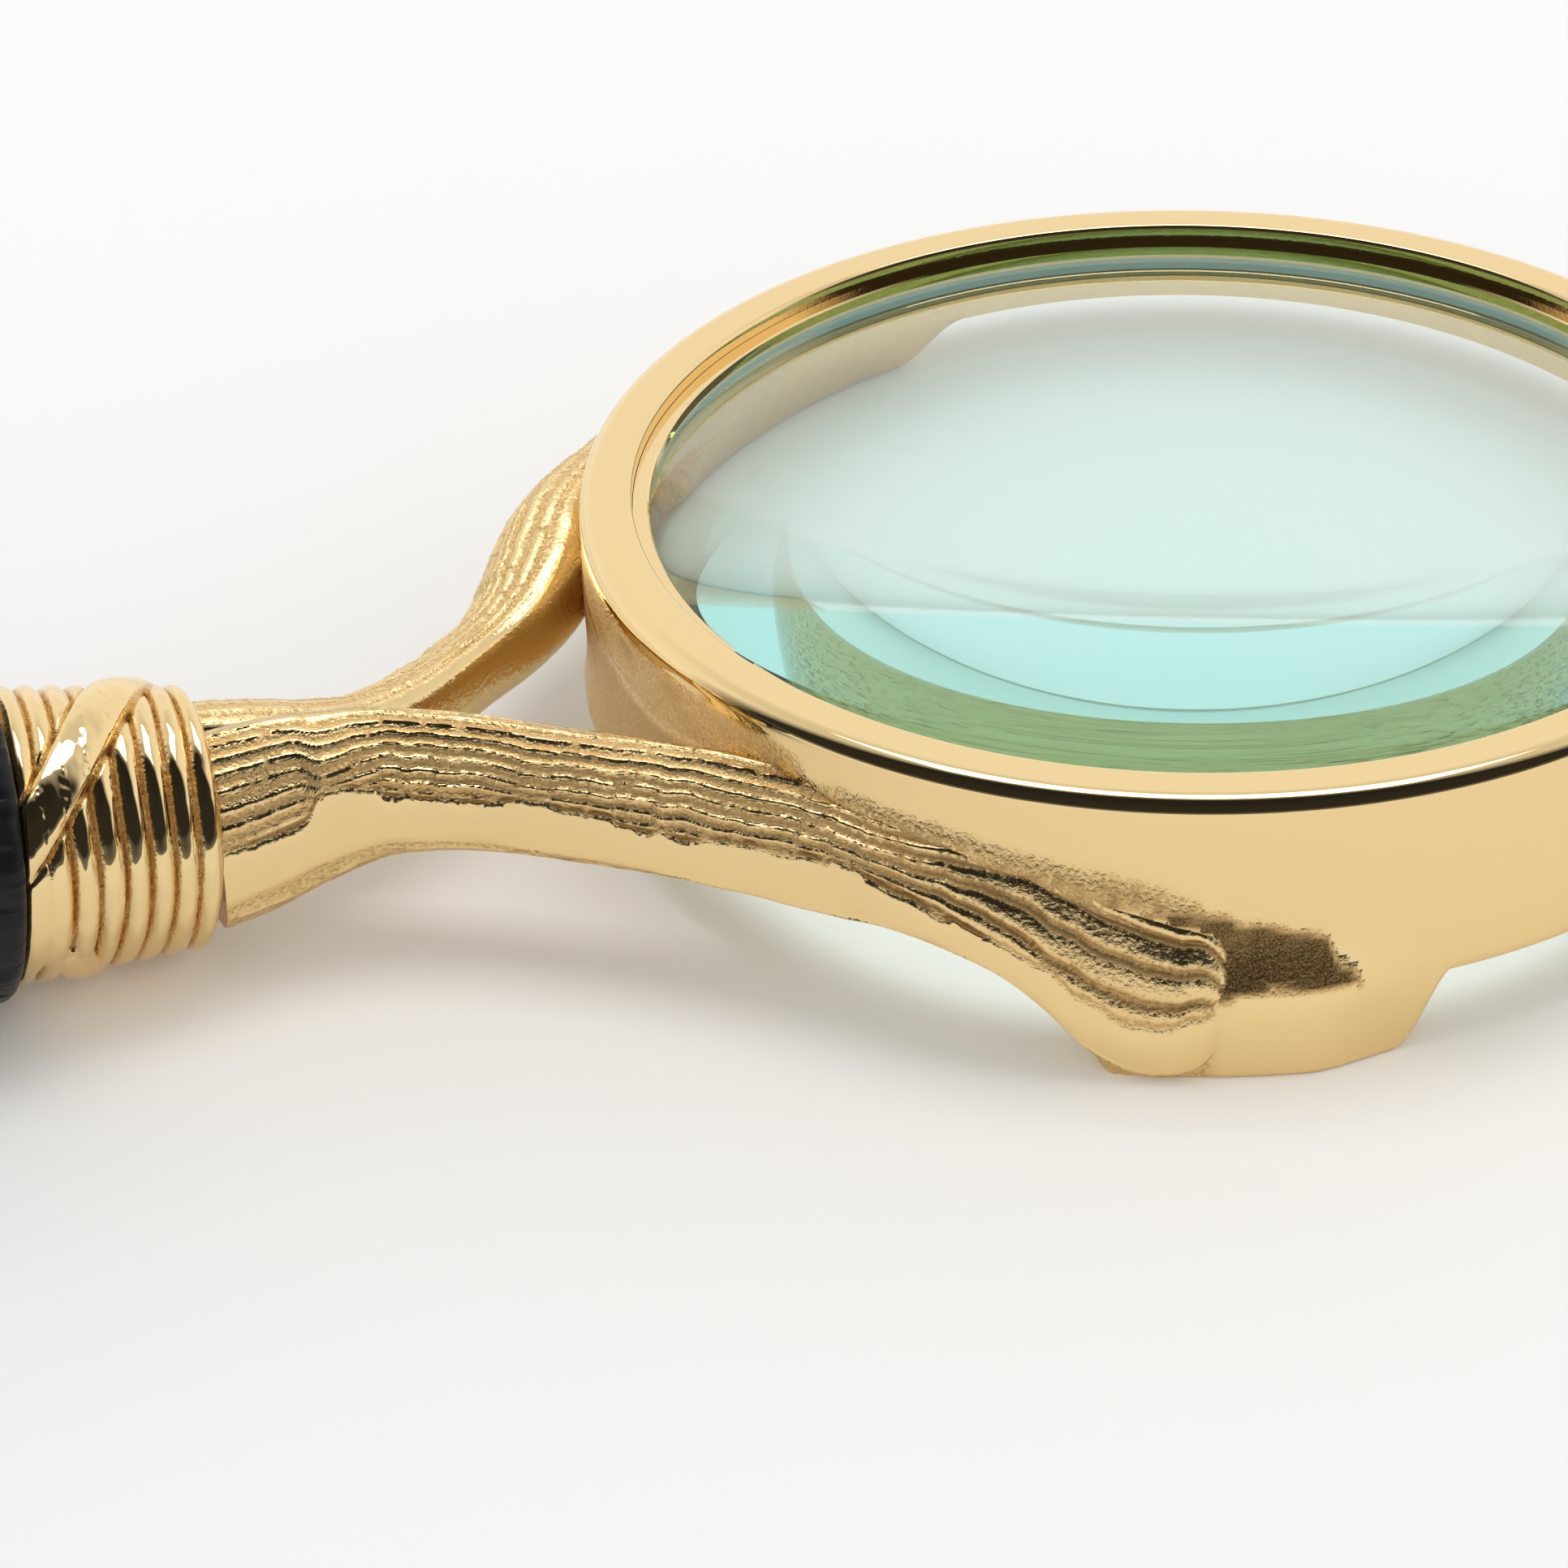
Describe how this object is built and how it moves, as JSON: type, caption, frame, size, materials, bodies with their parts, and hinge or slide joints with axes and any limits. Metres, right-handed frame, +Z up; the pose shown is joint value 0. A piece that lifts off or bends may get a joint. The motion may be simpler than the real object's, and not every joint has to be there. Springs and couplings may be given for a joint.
{
  "type": "magnifying glass",
  "caption": "Desk magnifying glass: thick round lens in a polished brass rim on a forked vine-like yoke with feet, a rope-lashed brass collar and a rising fluted black grip.",
  "frame": {"origin": "on the table, under the middle of the whole object's length and width", "axes": "+Z up out of the table and along the lens axis, +X along the object from the grip to the rim, +Y to the left when looking along +X"},
  "size_m": [0.2774, 0.1138, 0.0392],
  "materials": {
    "cast_brass": "hand-polished casting, raised parts mirror bright, hollows left rough and brown",
    "turned_brass": "turned and mirror polished, unlacquered",
    "lens_glass": "clear polished glass with the green tint of its iron content",
    "cushion_rubber": "matt black",
    "black_grip": "ebonised, carved with long uneven flutes, satin",
    "steel": "plain zinc-plated"
  },
  "bodies": {
    "root": {"frame_casting": "cast_brass", "lens": "lens_glass", "lens_cushion": "cushion_rubber", "lens_top_cushion": "cushion_rubber", "retaining_ring": "turned_brass", "lashed_collar": "cast_brass", "collar_pin": "steel", "grip": "black_grip", "tie_rod": "steel", "tie_rod_washer": "steel", "tie_rod_nut": "steel", "pommel": "turned_brass"}
  },
  "joints": []
}
